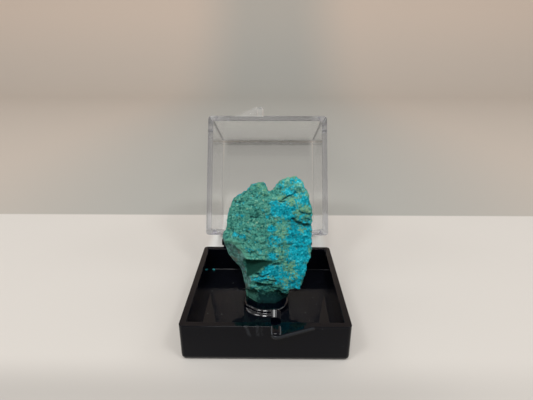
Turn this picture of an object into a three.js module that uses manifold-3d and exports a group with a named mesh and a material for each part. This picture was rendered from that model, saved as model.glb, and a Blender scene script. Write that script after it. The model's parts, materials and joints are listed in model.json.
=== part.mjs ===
// A chrysocolla specimen in its hinged display box: a black tray with a small
// pedestal, the stone standing on it, and a clear lid standing open behind.
// Millimetres. The origin is the middle of the tray's underside, +Z is up, and
// the two opening tabs are on the -Y side.

import * as THREE from 'three';
import { mergeVertices } from 'three/addons/utils/BufferGeometryUtils.js';
import Module from 'manifold-3d';

const wasm = await Module();
wasm.setup();

// ---------------------------------------------------------------- sizes

const BOX = 31.75; // outer side of the closed box, a 1 1/4 inch cube
const DRAFT = THREE.MathUtils.degToRad(0.55); // moulding draft of every wall
const CORNER_R = 0.8; // plan radius of the upright outer corners
const EDGE_R = 1.0; // radius of the outer edges round the base and round the lid's top

const TRAY_H = 7.8;
const TRAY_WALL = 1.3; // at the rim
const TRAY_FLOOR = 2.0;
const TRAY_INNER_R = 0.2;

const RIM_GAP = 0.25; // between the rims when the lid is shut
const LID_WALL = 1.35; // at the rim
const LID_TOP = 1.3;
const LID_SET_IN = 0.07; // each lid wall stands this far inside the tray's wall
const LID_INNER_R = 0.4;

const HINGE_Y = 17.55;
const HINGE_Z = 8.35;
const LID_OPEN = THREE.MathUtils.degToRad(115.5);
const ROD_R = 0.6;
const KNUCKLE_R = 0.95;
const KNUCKLE_X = [8.6, 11.6]; // from the inner to the outer end of each knuckle
const WEB_X = [9.0, 11.1]; // the web under it is a little narrower
const WEB_DROP = 3.4; // how far the web runs down the back wall below the rim
const CLIP_X = [5.2, 7.9];
const CLIP_R = [0.92, 1.5]; // inner and outer radius of the lid's snap clips
const CLIP_MOUTH = THREE.MathUtils.degToRad(76);

const TAB_X = [1.0, 9.2]; // from the deep end to the end that runs out into the wall
const TAB_OUT = 2.7;
const TAB_THICK = 0.8;
const TAB_R = 1.0;
const RIB_WIDTH = 1.9;
const RIB_RISE = 0.4;

// The catch behind the tray's tab, drawn in Y and Z. It stands just inside the shut lid.
const CATCH_PROFILE = [
  [-14.9, 4.6], [-14.5, 4.6], [-13.0, 6.2], [-13.0, 9.6], [-13.3, 9.6], [-14.28, 8.7],
  [-14.28, 7.6], [-14.9, 7.6],
];

const PEDESTAL_R = [5.15, 4.65]; // at its foot and at its top
const PEDESTAL_H = 1.0;

const SEAT_GAP = 0.1; // left between two pieces that rest on each other
const ARC_STEPS = 5; // facets in a quarter of a rounded corner

// The stone leans back by this angle. Its outline is drawn in the leaning plane,
// u to the right and v up the plane, from the middle of the front foot.
const STONE_LEAN = THREE.MathUtils.degToRad(16.6);
const STONE_FOOT = [0, -2.5, 3.0];
const STONE_THICK = 8.5;
const STONE_OUTLINE = [
  [-4.0, -2.0], [4.7, -2.0], [5.0, 0.4], [4.8, 1.7], [5.1, 3.3], [7.3, 3.5],
  [8.3, 6.5], [8.9, 9.0], [9.6, 10.1], [9.8, 13.0], [9.9, 15.5], [9.6, 17.1],
  [9.8, 18.2], [9.9, 20.4], [9.6, 22.2], [9.2, 23.8], [9.0, 24.8], [7.9, 26.0],
  [7.5, 27.4], [6.9, 28.0], [5.5, 27.8], [4.1, 27.3], [2.8, 26.8], [1.7, 25.5],
  [1.1, 24.6], [0.3, 24.8], [-0.1, 25.5], [-0.6, 26.7], [-1.6, 26.7], [-3.3, 25.9],
  [-4.5, 24.6], [-7.1, 23.0], [-7.8, 21.2], [-8.5, 19.0], [-8.6, 16.1], [-9.5, 14.7],
  [-9.5, 13.8], [-9.0, 12.2], [-8.3, 10.5], [-7.1, 9.1], [-6.1, 7.7], [-5.3, 5.6],
  [-4.6, 3.3],
];

// Pieces broken out of the slab, each lofted between two outlines: one in front of
// the stone and one inside it.
const STONE_BREAKS = [
  { // the smooth broken side at the lower left, from the lip back to the outline
    points: [
      { z: -3.0, points: [
        [-14.0, 13.8], [-14.0, -4.0], [-4.4, -4.0], [-4.6, 3.3], [-5.3, 5.6], [-6.1, 7.7],
        [-7.1, 9.1], [-8.3, 10.5], [-9.0, 12.2], [-9.5, 13.8] ] },
      { z: 1.0, points: [
        [-14.0, 15.0], [-14.0, -4.0], [-3.5, -4.0], [-3.1, 4.2], [-2.9, 6.6], [-3.1, 9.9],
        [-4.0, 11.3], [-4.9, 13.0], [-6.4, 14.3], [-9.3, 15.0] ] },
    ],
  },
  { // the back falls away below on the right, which leaves a thin front flake
    points: [
      { z: -8.6, points: [
        [5.2, -4.0], [14.0, -4.0], [14.0, 18.5], [10.2, 18.5], [10.1, 17.2], [9.2, 16.2],
        [8.5, 15.4], [7.4, 14.6], [5.2, 14.0] ] },
      { z: 0.0, points: [
        [5.2, -4.0], [14.0, -4.0], [14.0, 13.0], [10.2, 13.0], [10.1, 10.0], [9.2, 8.9],
        [8.6, 6.4], [7.5, 3.2], [5.2, 2.4] ] },
    ],
  },
  { // the same on the left
    points: [
      { z: -8.6, points: [
        [-5.4, 13.0], [-7.4, 13.6], [-8.5, 14.4], [-9.4, 15.6], [-10.0, 17.0], [-14.0, 17.0],
        [-14.0, -4.0], [-5.4, -4.0] ] },
      { z: 0.0, points: [
        [-5.4, 0.2], [-7.4, 1.0], [-8.5, 4.0], [-9.4, 8.0], [-10.0, 11.0], [-14.0, 11.0],
        [-14.0, -4.0], [-5.4, -4.0] ] },
    ],
  },
  { // the hollow under the front lobe, which leaves the foot a little set back
    points: [
      { z: -0.5, points: [
        [-6.0, 4.6], [-6.0, -4.0], [9.0, -4.0], [9.0, 2.1], [4.8, 2.3], [0.2, 3.9], [-1.1, 4.5] ] },
      { z: 1.5, points: [
        [-6.0, 6.4], [-6.0, -4.0], [9.0, -4.0], [9.0, 2.9], [4.8, 3.1], [0.2, 4.9], [-1.1, 5.6] ] },
    ],
  },
  { // the foot's rounded front, right
    points: [
      { z: -3.0, points: [[4.9, -4.0], [9.0, -4.0], [9.0, 2.2], [4.9, 2.2]] },
      { z: 0.0, points: [[1.7, -4.0], [9.0, -4.0], [9.0, 2.6], [1.7, 2.6]] },
    ],
  },
  { // the foot's rounded front, left
    points: [
      { z: -3.0, points: [[-6.0, -4.0], [-4.2, -4.0], [-4.2, 2.4], [-6.0, 2.8]] },
      { z: 0.0, points: [[-6.0, -4.0], [-1.2, -4.0], [-1.2, 3.4], [-6.0, 4.4]] },
    ],
  },
  { // the three-cornered facet beside the broken side
    points: [
      { z: -1.7, points: [[-4.9, 9.6], [-4.6, 7.2], [-3.0, 9.6]] },
      { z: 0.6, points: [[-4.9, 9.9], [-3.8, 5.6], [2.8, 9.7]] },
    ],
  },
];

// Flat facets that trim the slab: a point of each and its outward direction.
const STONE_FACETS = [
  [[0, 14, -8.5], [0.0, 4.5, -14]], // rear, thinning towards the top
  [[0, 9, -8.5], [0.3, -3.2, -9]], // rear, thinning towards the foot
  [[4, 14, -8.5], [4.2, 0.4, -6]], // rear right
  [[-4, 14, -8.5], [-2.9, 0.8, -5.7]], // rear left
  [[-4, 20, 0], [-1.2, 0.5, 4.2]], // front, falling off to the left
  [[7, 16, 0], [1.1, 0.1, 3.0]], // front, falling off to the right
  [[0, 22.5, 0], [0.2, 1.4, 6.0]], // front, falling off to the top
  [[8.5, 26, -2], [2.0, 3.0, 1.0]], // the peak's right shoulder
];

// ------------------------------------------------------------- materials

const blackPlastic = () => new THREE.MeshStandardMaterial({
  color: 0x0b0b0d, roughness: 0.15, metalness: 0,
});
const clearPlastic = () => new THREE.MeshStandardMaterial({
  color: 0xe9ebea, roughness: 0.05, metalness: 0, transparent: true, opacity: 0.3,
});
const chrysocolla = () => new THREE.MeshStandardMaterial({
  color: 0x3f9a92, roughness: 0.85, metalness: 0, flatShading: true,
});

// ----------------------------------------------------------- solid tools

function toSolid(geometry) {
  const bare = geometry.index ? geometry.toNonIndexed() : geometry.clone();
  bare.deleteAttribute('normal');
  bare.deleteAttribute('uv');
  const merged = mergeVertices(bare, 1e-4);
  return new wasm.Manifold(new wasm.Mesh({
    numProp: 3,
    vertProperties: new Float32Array(merged.attributes.position.array),
    triVerts: new Uint32Array(merged.index.array),
  }));
}

function toGeometry(solid) {
  const mesh = solid.getMesh();
  const geometry = new THREE.BufferGeometry();
  geometry.setAttribute('position', new THREE.BufferAttribute(mesh.vertProperties, 3));
  geometry.setIndex(new THREE.BufferAttribute(mesh.triVerts, 1));
  geometry.computeVertexNormals();
  return geometry;
}

// A box given by its lowest and highest corner.
function block([x0, y0, z0], [x1, y1, z1]) {
  const size = new THREE.BoxGeometry(x1 - x0, y1 - y0, z1 - z0);
  return toSolid(size.translate((x0 + x1) / 2, (y0 + y1) / 2, (z0 + z1) / 2));
}

// A round bar along X.
function bar(x0, x1, y, z, radius, facets = 32) {
  const round = new THREE.CylinderGeometry(radius, radius, x1 - x0, facets);
  return toSolid(round.rotateZ(Math.PI / 2).translate((x0 + x1) / 2, y, z));
}

// A prism whose profile is drawn in Y and Z, standing between two X values.
function profileBar(x0, x1, points) {
  const shape = new THREE.Shape(points.map(([y, z]) => new THREE.Vector2(y, z)));
  const prism = new THREE.ExtrudeGeometry(shape, { depth: x1 - x0, bevelEnabled: false });
  const toYZ = new THREE.Matrix4().makeBasis(
    new THREE.Vector3(0, 1, 0), new THREE.Vector3(0, 0, 1), new THREE.Vector3(1, 0, 0),
  );
  return toSolid(prism.applyMatrix4(toYZ).translate(x0, 0, 0));
}

// A square with rounded corners, counter-clockwise.
function roundedSquare(half, radius) {
  const points = [];
  for (let corner = 0; corner < 4; corner += 1) {
    const middle = (corner + 0.5) * Math.PI / 2;
    const cx = Math.sign(Math.cos(middle)) * (half - radius);
    const cy = Math.sign(Math.sin(middle)) * (half - radius);
    for (let step = 0; step <= ARC_STEPS; step += 1) {
      const angle = (corner + step / ARC_STEPS) * Math.PI / 2;
      points.push([cx + radius * Math.cos(angle), cy + radius * Math.sin(angle)]);
    }
  }
  return points;
}

// A closed solid through rings of equal point count, counter-clockwise seen from
// above, from the lowest to the highest.
function loft(rings) {
  const count = rings[0].points.length;
  const positions = rings.flatMap(({ z, points }) => points.flatMap(([x, y]) => [x, y, z]));
  const index = [];
  for (let ring = 0; ring + 1 < rings.length; ring += 1) {
    for (let i = 0; i < count; i += 1) {
      const a = ring * count + i;
      const b = ring * count + (i + 1) % count;
      index.push(a, b, b + count, a, b + count, a + count);
    }
  }
  const capOf = ({ points }) => THREE.ShapeUtils.triangulateShape(
    points.map(([x, y]) => new THREE.Vector2(x, y)), [],
  );
  const last = (rings.length - 1) * count;
  for (const [a, b, c] of capOf(rings[0])) index.push(a, c, b);
  for (const [a, b, c] of capOf(rings.at(-1))) index.push(last + a, last + b, last + c);
  const geometry = new THREE.BufferGeometry();
  geometry.setAttribute('position', new THREE.Float32BufferAttribute(positions, 3));
  geometry.setIndex(index);
  return toSolid(geometry);
}

// A drafted square block with one end rounded over. The half width is given at
// the rim, and it shrinks by the draft towards the rounded end.
function draftedBlock(rimHalf, rimZ, endZ, cornerR, edgeR) {
  const towards = Math.sign(rimZ - endZ);
  const height = Math.abs(rimZ - endZ);
  const halfAt = (fromEnd) => rimHalf - (height - fromEnd) * Math.tan(DRAFT);
  const rings = [];
  for (let step = 0; step <= ARC_STEPS; step += 1) {
    const angle = step / ARC_STEPS * Math.PI / 2;
    const fromEnd = edgeR * (1 - Math.cos(angle));
    const inset = edgeR * (1 - Math.sin(angle));
    const radius = cornerR - 0.6 * inset;
    rings.push({ z: endZ + towards * fromEnd, half: halfAt(fromEnd) - inset, radius });
  }
  rings.push({ z: rimZ, half: rimHalf, radius: cornerR });
  if (towards < 0) rings.reverse();
  return loft(rings.map(({ z, half, radius }) => ({ z, points: roundedSquare(half, radius) })));
}

// ---------------------------------------------------- tabs on both shells

// The thumb tab in plan: deep and rounded at one end, running out into the wall
// at the other. It starts inside the wall so that it joins it.
function tabOutline(wallY) {
  const [deep, end] = TAB_X;
  const tip = wallY - TAB_OUT;
  const root = wallY + TRAY_WALL / 2;
  const shape = new THREE.Shape();
  shape.moveTo(deep, root);
  shape.lineTo(deep, tip + TAB_R);
  shape.quadraticCurveTo(deep, tip, deep + TAB_R, tip);
  shape.lineTo(deep + RIB_WIDTH, tip + 0.15);
  shape.lineTo(end, wallY);
  shape.lineTo(end, root);
  shape.closePath();
  return shape;
}

// The tab with its stiffening rib at the deep end.
function thumbTab(wallY, rimZ, above) {
  const plate = new THREE.ExtrudeGeometry(tabOutline(wallY), {
    depth: TAB_THICK, bevelEnabled: false, curveSegments: 6,
  });
  const plateZ = above ? rimZ : rimZ - TAB_THICK;
  const ribTip = wallY - TAB_OUT + 0.5;
  const ribRoot = above ? wallY + TRAY_WALL - 0.1 : wallY - 0.08;
  const ribZ = above ? [rimZ + TAB_THICK - 0.2, rimZ + TAB_THICK + RIB_RISE]
    : [rimZ - TAB_THICK, rimZ + RIB_RISE];
  const rib = block([TAB_X[0] + 0.05, ribTip, ribZ[0]], [TAB_X[0] + RIB_WIDTH, ribRoot, ribZ[1]]);
  return toSolid(plate.translate(0, 0, plateZ)).add(rib);
}

// --------------------------------------------------------------- pieces

function makeTray() {
  const outer = draftedBlock(BOX / 2, TRAY_H, 0, CORNER_R, EDGE_R);
  const inner = draftedBlock(BOX / 2 - TRAY_WALL, TRAY_H + 1, TRAY_FLOOR, TRAY_INNER_R, TRAY_INNER_R);
  const catchX = [TAB_X[0] + 0.05, TAB_X[0] + RIB_WIDTH];
  let tray = outer.subtract(inner)
    .add(thumbTab(-BOX / 2, TRAY_H, false))
    .add(profileBar(...catchX, CATCH_PROFILE));
  const wallY = BOX / 2;
  for (const side of [-1, 1]) {
    const ends = (pair) => (side < 0 ? [-pair[1], -pair[0]] : pair);
    const [k0, k1] = ends(KNUCKLE_X);
    const [w0, w1] = ends(WEB_X);
    const web = profileBar(w0, w1, [
      [wallY - 0.5, TRAY_H - WEB_DROP],
      [HINGE_Y + KNUCKLE_R * 0.7, HINGE_Z - KNUCKLE_R * 0.7],
      [HINGE_Y, HINGE_Z],
      [HINGE_Y - KNUCKLE_R * 0.75, HINGE_Z],
      [wallY - 0.1, TRAY_H - 0.3],
      [wallY - 0.5, TRAY_H - 0.3],
    ]);
    tray = tray.add(bar(k0, k1, HINGE_Y, HINGE_Z, KNUCKLE_R)).add(web);
  }
  const rodEnd = (KNUCKLE_X[0] + KNUCKLE_X[1]) / 2;
  return toGeometry(tray.add(bar(-rodEnd, rodEnd, HINGE_Y, HINGE_Z, ROD_R, 24)));
}

// A snap clip round the rod: a ring with a mouth that faces down when the lid is
// shut, and an arm that joins it to the lid's back wall.
function snapClip(x0, x1) {
  const wallY = BOX / 2 - LID_SET_IN;
  const rimZ = TRAY_H + RIM_GAP;
  const [innerR, outerR] = CLIP_R;
  const mouth = Math.sin(CLIP_MOUTH / 2) * outerR;
  const arm = block([x0, wallY - 0.6, rimZ + 0.15], [x1, HINGE_Y, HINGE_Z + outerR]);
  const mouthBlock = block(
    [x0 - 1, HINGE_Y - mouth, HINGE_Z - 2 * outerR], [x1 + 1, HINGE_Y + mouth, HINGE_Z],
  );
  return bar(x0, x1, HINGE_Y, HINGE_Z, outerR)
    .add(arm)
    .subtract(bar(x0 - 1, x1 + 1, HINGE_Y, HINGE_Z, innerR))
    .subtract(mouthBlock);
}

function makeLid() {
  const half = BOX / 2 - LID_SET_IN;
  const rimZ = TRAY_H + RIM_GAP;
  const outer = draftedBlock(half, rimZ, BOX, CORNER_R, EDGE_R);
  const inner = draftedBlock(half - LID_WALL, rimZ - 1, BOX - LID_TOP, LID_INNER_R, LID_INNER_R);
  const lid = outer.subtract(inner)
    .add(thumbTab(-half, rimZ, true).mirror([1, 0, 0]))
    .add(snapClip(...CLIP_X))
    .add(snapClip(-CLIP_X[1], -CLIP_X[0]));
  return toGeometry(lid);
}

// A low disc with a flared foot and a rounded top edge.
function makePedestal() {
  const [foot, top] = PEDESTAL_R;
  const profile = [
    [0, 0], [foot, 0], [foot - 0.1, 0.1], [top + 0.05, 0.35],
    [top, PEDESTAL_H - 0.4], [top - 0.15, PEDESTAL_H - 0.12], [top - 0.45, PEDESTAL_H],
    [0, PEDESTAL_H],
  ];
  const round = new THREE.LatheGeometry(profile.map(([r, z]) => new THREE.Vector2(r, z)), 48);
  return toGeometry(toSolid(round.rotateX(Math.PI / 2)));
}

// ----------------------------------------------------------------- stone

// Everything of the stone is drawn in the leaning plane: u to the right, v up the
// plane, and n out of it towards the front, with the front face at n = 0.
const leaningPlane = new THREE.Matrix4()
  .makeRotationX(Math.PI / 2 - STONE_LEAN)
  .setPosition(...STONE_FOOT);

// Cuts off what lies beyond a plane, given by one of its points and its outward normal.
function cutBeyond(solid, point, normal) {
  const reach = 80;
  const up = new THREE.Vector3(0, 0, 1);
  const outward = new THREE.Vector3(...normal).normalize();
  const cutter = new THREE.BoxGeometry(reach, reach, reach)
    .translate(0, 0, reach / 2)
    .applyQuaternion(new THREE.Quaternion().setFromUnitVectors(up, outward))
    .translate(...point);
  return solid.subtract(toSolid(cutter));
}

function makeStone() {
  const outline = new THREE.Shape(STONE_OUTLINE.map(([u, v]) => new THREE.Vector2(u, v)));
  const slab = new THREE.ExtrudeGeometry(outline, { depth: STONE_THICK, bevelEnabled: false });
  let stone = toSolid(slab.translate(0, 0, -STONE_THICK));
  for (const { points } of STONE_BREAKS) stone = stone.subtract(loft(points));
  for (const [point, normal] of STONE_FACETS) stone = cutBeyond(stone, point, normal);
  const geometry = toGeometry(stone).applyMatrix4(leaningPlane);
  const seatZ = TRAY_FLOOR + PEDESTAL_H + 2 * SEAT_GAP;
  return toGeometry(cutBeyond(toSolid(geometry), [0, 0, seatZ], [0, 0, -1]));
}

// ------------------------------------------------------------- assembly

function piece(name, geometry, material) {
  const mesh = new THREE.Mesh(geometry, material);
  mesh.name = name;
  return mesh;
}

const box = new THREE.Group();
box.add(piece('base_tray', makeTray(), blackPlastic()));

const pedestal = piece('pedestal', makePedestal(), blackPlastic());
pedestal.position.set(0, 0, TRAY_FLOOR + SEAT_GAP);
box.add(pedestal);

box.add(piece('specimen', makeStone(), chrysocolla()));

// The lid is drawn shut, and swings open about the hinge rod.
const hinge = new THREE.Group();
hinge.position.set(0, HINGE_Y, HINGE_Z);
hinge.rotation.x = -LID_OPEN;
const lid = piece('lid', makeLid(), clearPlastic());
lid.position.set(0, -HINGE_Y, -HINGE_Z);
hinge.add(lid);
box.add(hinge);

export default box;
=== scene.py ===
"""A rough chrysocolla stone on a black pedestal, in a hinged display box whose clear lid stands open."""

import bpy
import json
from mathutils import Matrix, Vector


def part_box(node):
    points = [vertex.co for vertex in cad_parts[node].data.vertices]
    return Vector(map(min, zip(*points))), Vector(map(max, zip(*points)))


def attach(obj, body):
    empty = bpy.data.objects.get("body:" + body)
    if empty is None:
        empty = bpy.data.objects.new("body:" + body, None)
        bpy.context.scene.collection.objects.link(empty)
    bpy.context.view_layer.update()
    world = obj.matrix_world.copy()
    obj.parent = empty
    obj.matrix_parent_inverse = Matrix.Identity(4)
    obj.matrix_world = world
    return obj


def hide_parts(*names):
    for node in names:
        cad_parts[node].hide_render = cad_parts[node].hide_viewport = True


bl_info = {
    "name": "Boxed chrysocolla specimen",
    "version": (1, 0, 0),
    "blender": (4, 5, 0),
    "location": "View3D > Sidebar > Specimen",
    "description": "Builds a mineral specimen in its hinged display box",
    "category": "Add Mesh",
}

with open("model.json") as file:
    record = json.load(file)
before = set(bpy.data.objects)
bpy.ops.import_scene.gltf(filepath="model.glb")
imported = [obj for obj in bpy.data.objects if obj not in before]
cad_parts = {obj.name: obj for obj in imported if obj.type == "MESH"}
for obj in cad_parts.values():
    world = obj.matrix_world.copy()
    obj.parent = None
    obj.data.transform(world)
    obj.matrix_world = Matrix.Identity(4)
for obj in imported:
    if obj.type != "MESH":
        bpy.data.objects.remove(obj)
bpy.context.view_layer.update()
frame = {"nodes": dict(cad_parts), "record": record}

import contextlib
import json
import math

import bmesh
import bpy
import numpy as np
from mathutils import Matrix, Vector, noise

MM = 0.001

# The lid's hinge, as the frame gives it.
HINGE = frame["record"]["behaviour"]["joints"][0]
HINGE_AT = Vector(HINGE["pos_m"])
LID_OPEN = math.radians(HINGE["range_deg"][1])
TRAY_HIGH = Vector(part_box("base_tray")[1])
PEDESTAL_LOW, PEDESTAL_HIGH = (Vector(corner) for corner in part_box("pedestal"))
TRAY_FLOOR_Z = PEDESTAL_LOW.z - 0.1 * MM


# ---------------- settings


def length(name, description, default_mm, **options):
    """A length property, with its default in millimetres."""
    return bpy.props.FloatProperty(
        name=name, description=description, default=default_mm * MM,
        min=0.0, unit="LENGTH", subtype="DISTANCE", precision=5, **options
    )


def colour(name, description, default):
    """A colour property, with its default as linear red, green and blue."""
    return bpy.props.FloatVectorProperty(
        name=name, description=description, default=default,
        min=0.0, max=1.0, size=3, subtype="COLOR",
    )


def number(name, description, default, **options):
    """A plain number property."""
    return bpy.props.FloatProperty(name=name, description=description, default=default, **options)


class BoxSizes(bpy.types.PropertyGroup):
    """Sizes of the tray, the lid and the pedestal."""

    tray_height: length("Tray height", "From the table to the tray's rim", 7.8)
    tray_wall: length("Tray wall", "Wall thickness at the rim", 1.3)
    tray_floor: length("Tray floor", "Height of the tray's floor above the table", 2.0)
    lid_wall: length("Lid wall", "Wall thickness at the lid's rim", 1.35)
    lid_top: length("Lid top", "Thickness of the lid's flat top", 1.3)
    lid_inset: length("Lid inset", "How far the lid's walls stand inside the tray's", 0.07)
    rim_gap: length("Rim gap", "Gap between the rims when the lid is shut", 0.25)
    corner: length("Corner radius", "Radius of the upright corners", 0.8)
    edge: length("Edge radius", "Radius round the underside and round the lid's top", 1.0)
    soften: length("Rim rounding", "Radius of the fine rounding along the rims", 0.09)
    draft: number("Draft", "Moulding draft of every wall", math.radians(0.55), subtype="ANGLE")


class BoxFinish(bpy.types.PropertyGroup):
    """Colours of the two plastics."""

    black: colour("Black plastic", "Body colour of the tray and the pedestal", (0.0004, 0.0007, 0.0030))
    # The dust colour is also the pale of the painted highlights on the tray's tab and rib.
    dust: colour("Dust", "Colour of the dust lying on the black plastic", (0.18, 0.20, 0.22))
    clear: colour("Clear plastic", "Tint of the lid", (0.985, 0.985, 0.990))
    depth: colour("Lid depth", "What the clear plastic lets through along its length", (0.46, 0.46, 0.54))


class StoneShape(bpy.types.PropertyGroup):
    """How rough the stone is."""

    cell: length("Cell", "Cell size of the stone's fine mesh before it is divided", 0.27)
    lump: length("Lumps", "Height of the broad lumps", 0.34)
    ledge: length("Ledges", "Height of the small ledges and crumbs", 0.27)
    grain: length("Grain", "Height of the fine grain", 0.115)


class StoneColours(bpy.types.PropertyGroup):
    """Colours of the minerals in the stone, and of the painted shade on its facet and foot."""

    green: colour("Sea green", "Main colour of the green ground", (0.072, 0.322, 0.260))
    # The deep colours also take painted shade in the hollows, and the pale ones painted light on the
    # crests and the peak.
    green_deep: colour("Deep green", "Hollows of the green ground", (0.010, 0.110, 0.095))
    green_pale: colour("Pale green", "Crests of the green ground", (0.250, 0.550, 0.400))
    blue: colour("Cyan blue", "Main colour of the blue bands", (0.003, 0.365, 0.470))
    blue_deep: colour("Deep blue", "Hollows of the blue bands", (0.001, 0.125, 0.185))
    blue_pale: colour("Pale blue", "Crests of the blue bands", (0.075, 0.700, 0.810))
    olive: colour("Olive", "Yellow green specks", (0.270, 0.460, 0.190))
    tan: colour("Tan", "Brownish specks", (0.400, 0.330, 0.220))
    broken: colour("Broken face", "The smooth broken side", (0.085, 0.210, 0.185))
    # The dark facet is painted shade under the overhanging edge.
    facet: colour("Dark facet", "The three-cornered facet", (0.006, 0.045, 0.033))
    # The dark foot is painted shade under the lobe.
    foot: colour("Dark foot", "The stone's foot below the lobe", (0.010, 0.042, 0.038))
    lip: colour("Lip", "The pale edge along the broken side", (0.130, 0.400, 0.290))


class CrumbSettings(bpy.types.PropertyGroup):
    """Crumbs and dust grains lying in the tray."""

    seed: bpy.props.IntProperty(name="Seed", description="Where the grains lie", default=7, min=0)
    density: number("Density", "Grains on each square metre of the tray's floor", 34000.0, min=0.0)
    small: length("Smallest grain", "Size of the smallest grains", 0.07)
    large: length("Largest grain", "Size of the largest grains", 0.17)
    crumb: length("Crumb", "Size of the large crumb at the back", 0.62)


class StageSettings(bpy.types.PropertyGroup):
    """Floor, light and surroundings."""

    floor: colour("Floor", "The pale table top", (0.700, 0.668, 0.630))
    # The front shade is painted shadow on the table in front of the box.
    shaded: number("Front shade", "How dark the table is in front of the box", 0.78, min=0.0, max=1.0)
    far: colour("Far ground", "The darker ground beyond the table's line", (0.435, 0.432, 0.405))
    # The lighter far sides leave painted shade in the middle of the far ground.
    far_side: colour("Far sides", "The far ground towards the left and right", (0.570, 0.505, 0.445))
    far_line: length("Far line", "Where the darker ground begins, behind the box", 56.0)
    sky: number("Surroundings", "Brightness of the soft surroundings", 0.49, min=0.0)
    lamp: number("Lamp", "Power of the main lamp in front, in watts", 2.8, min=0.0)
    side_lamp: number("Side lamps", "Power of each lamp beside it, in watts", 1.3, min=0.0)
    fill_lamp: number("Fill lamps", "Power of the soft lamp on each side, in watts", 0.55, min=0.0)


GROUPS = {
    "specimen_box": BoxSizes,
    "specimen_finish": BoxFinish,
    "specimen_stone": StoneShape,
    "specimen_colours": StoneColours,
    "specimen_crumbs": CrumbSettings,
    "specimen_stage": StageSettings,
}


# ---------------- mesh tools


def new_object(name, data):
    """A new object in the scene with this mesh, light or camera."""
    piece = bpy.data.objects.new(name, data)
    bpy.context.scene.collection.objects.link(piece)
    return piece


@contextlib.contextmanager
def editing(mesh):
    """The mesh as a bmesh, written back when the block ends."""
    work = bmesh.new()
    work.from_mesh(mesh)
    yield work
    work.to_mesh(mesh)
    work.free()


def mesh_of(name, points, faces, closed=True):
    """A mesh from points and faces. A closed one has its faces turned outwards."""
    mesh = bpy.data.meshes.new(name)
    mesh.from_pydata([tuple(p) for p in points], [], faces)
    if closed:
        with editing(mesh) as work:
            bmesh.ops.recalc_face_normals(work, faces=work.faces)
    return mesh


def modify(piece, name, kind, **settings):
    """Adds a modifier with these settings."""
    made = piece.modifiers.new(name, kind)
    for key, value in settings.items():
        setattr(made, key, value)
    return made


def applied(piece, name):
    """The piece's mesh with its modifiers applied. The piece itself goes."""
    view = bpy.context.evaluated_depsgraph_get()
    mesh = bpy.data.meshes.new_from_object(piece.evaluated_get(view))
    bpy.data.objects.remove(piece)
    mesh.name = name
    return mesh


def all_smooth(mesh):
    """Smooth shading on every face."""
    mesh.polygons.foreach_set("use_smooth", [True] * len(mesh.polygons))
    return mesh


def rounded_square(half, radius, z, steps=8):
    """Points round a square with rounded corners, counter-clockwise."""
    points = []
    for corner in range(4):
        middle = (corner + 0.5) * math.pi / 2
        cx = math.copysign(half - radius, math.cos(middle))
        cy = math.copysign(half - radius, math.sin(middle))
        for step in range(steps + 1):
            angle = (corner + step / steps) * math.pi / 2
            points.append((cx + radius * math.cos(angle), cy + radius * math.sin(angle), z))
    return points


def lofted(name, rings):
    """A closed mesh through rings of equal point count, capped at both ends."""
    count = len(rings[0])
    points = [p for ring in rings for p in ring]
    faces = []
    for ring in range(len(rings) - 1):
        for i in range(count):
            j = (i + 1) % count
            a, b = ring * count + i, ring * count + j
            faces.append((a, b, b + count, a + count))
    last = (len(rings) - 1) * count
    faces.append(tuple(reversed(range(count))))
    faces.append(tuple(range(last, last + count)))
    return mesh_of(name, points, faces)


def arc(inset, height, radius, start, end, steps=7):
    """Points (inset, height) on an arc about a centre, angles in degrees."""
    for step in range(steps + 1):
        angle = math.radians(start + (end - start) * step / steps)
        yield inset - radius * math.cos(angle), height + radius * math.sin(angle)


def shell(name, half, wall, height, floor, inner_radius, sizes):
    """An open box, closed end down at height 0. half is its outer half width at the rim."""
    edge, soft = sizes.edge, sizes.soften
    slope = math.tan(sizes.draft)
    outside = [*arc(edge, edge, edge, -90, 0)]
    rim_out = [*arc(soft, height - soft, soft, 0, 90, 4)]
    rim_in = [*arc(wall - soft, height - soft, -soft, -90, 0, 4)]
    inside = [*arc(wall + inner_radius, floor + inner_radius, inner_radius, 0, -90)]
    rings = []
    for inset, h in [*outside, *rim_out]:
        inset += 0 if inset < 0 else (height - h) * slope
        radius = sizes.corner - 0.6 * min(inset, sizes.corner)
        rings.append(rounded_square(half - inset, radius, h))
    for inset, h in [*rim_in, *inside]:
        inset += (height - h) * slope
        beyond = max(0.0, inset - wall)
        radius = max(inner_radius - 0.6 * beyond, 0.12 * MM)
        rings.append(rounded_square(half - inset, radius, h))
    return lofted(name, rings)


def prism(outline, low, high, axis, soften=0.0):
    """A solid whose outline stands between two values along an axis, with softened edges.

    For the axis X the outline is in Y and Z, and for Z it is in X and Y.
    """
    if axis == "X":
        place = lambda t, p: (t, p[0], p[1])
    else:
        place = lambda t, p: (p[0], p[1], t)
    count = len(outline)
    points = [place(t, p) for t in (low, high) for p in outline]
    faces = [tuple(range(count)), tuple(range(count, 2 * count))]
    faces += [(i, (i + 1) % count, (i + 1) % count + count, i + count) for i in range(count)]
    mesh = mesh_of("prism", points, faces)
    if soften:
        with editing(mesh) as work:
            sharp = [edge for edge in work.edges if edge.calc_face_angle() > math.radians(30)]
            bmesh.ops.bevel(
                work, geom=sharp, offset=soften, segments=3, profile=0.5,
                affect="EDGES", clamp_overlap=True,
            )
            bmesh.ops.remove_doubles(work, verts=work.verts, dist=0.002 * MM)
    return mesh


def circle(cy, cz, radius, steps):
    """Points round a circle."""
    return [
        (cy + radius * math.cos(i / steps * math.tau), cz + radius * math.sin(i / steps * math.tau))
        for i in range(steps)
    ]


def bar(x_low, x_high, radius, soften=0.0, steps=48):
    """A round bar along the hinge's axis."""
    return prism(circle(HINGE_AT.y, HINGE_AT.z, radius, steps), x_low, x_high, "X", soften)


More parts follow.
